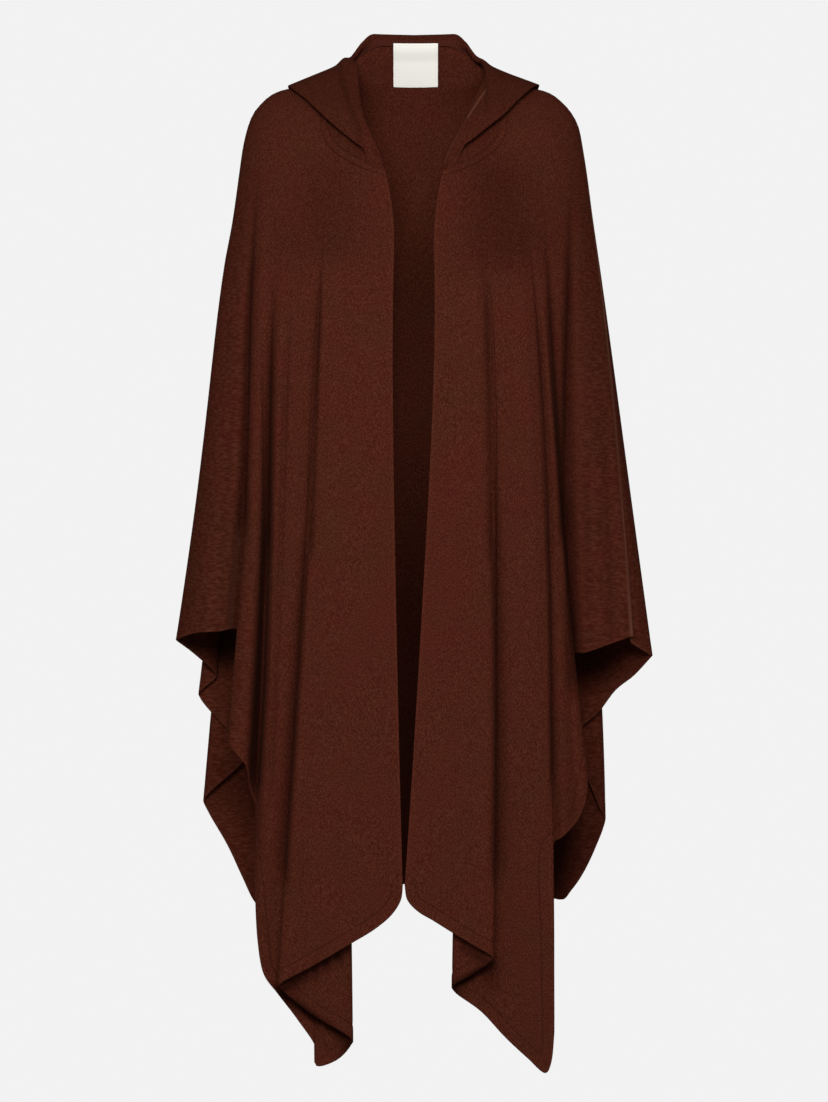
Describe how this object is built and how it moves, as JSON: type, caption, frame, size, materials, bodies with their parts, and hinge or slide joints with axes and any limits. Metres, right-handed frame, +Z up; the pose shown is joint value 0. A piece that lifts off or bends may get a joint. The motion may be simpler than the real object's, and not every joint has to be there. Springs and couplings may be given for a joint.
{
  "type": "hooded open-front poncho",
  "caption": "Long hooded wrap poncho in dark brushed wool, open down the front, with draped sleeves and falling corners, worn with the hood down.",
  "frame": {"origin": "the middle of the neck at the height of the shoulder line, where the wearer's shoulders carry the garment", "axes": "+Z up, the open front faces -Y, and +X is the wearer's left"},
  "size_m": [0.6105, 0.3153, 1.3231],
  "materials": {
    "cloth": "matt brushed wool knit, dark reddish brown",
    "tape": "matt narrow woven tape, dark brown",
    "label": "matt woven cloth, cream"
  },
  "bodies": {
    "root": {"front_right": "cloth", "front_left": "cloth", "back": "cloth", "hood_right": "cloth", "hood_left": "cloth", "neck_tape": "tape", "label": "label"}
  },
  "joints": []
}
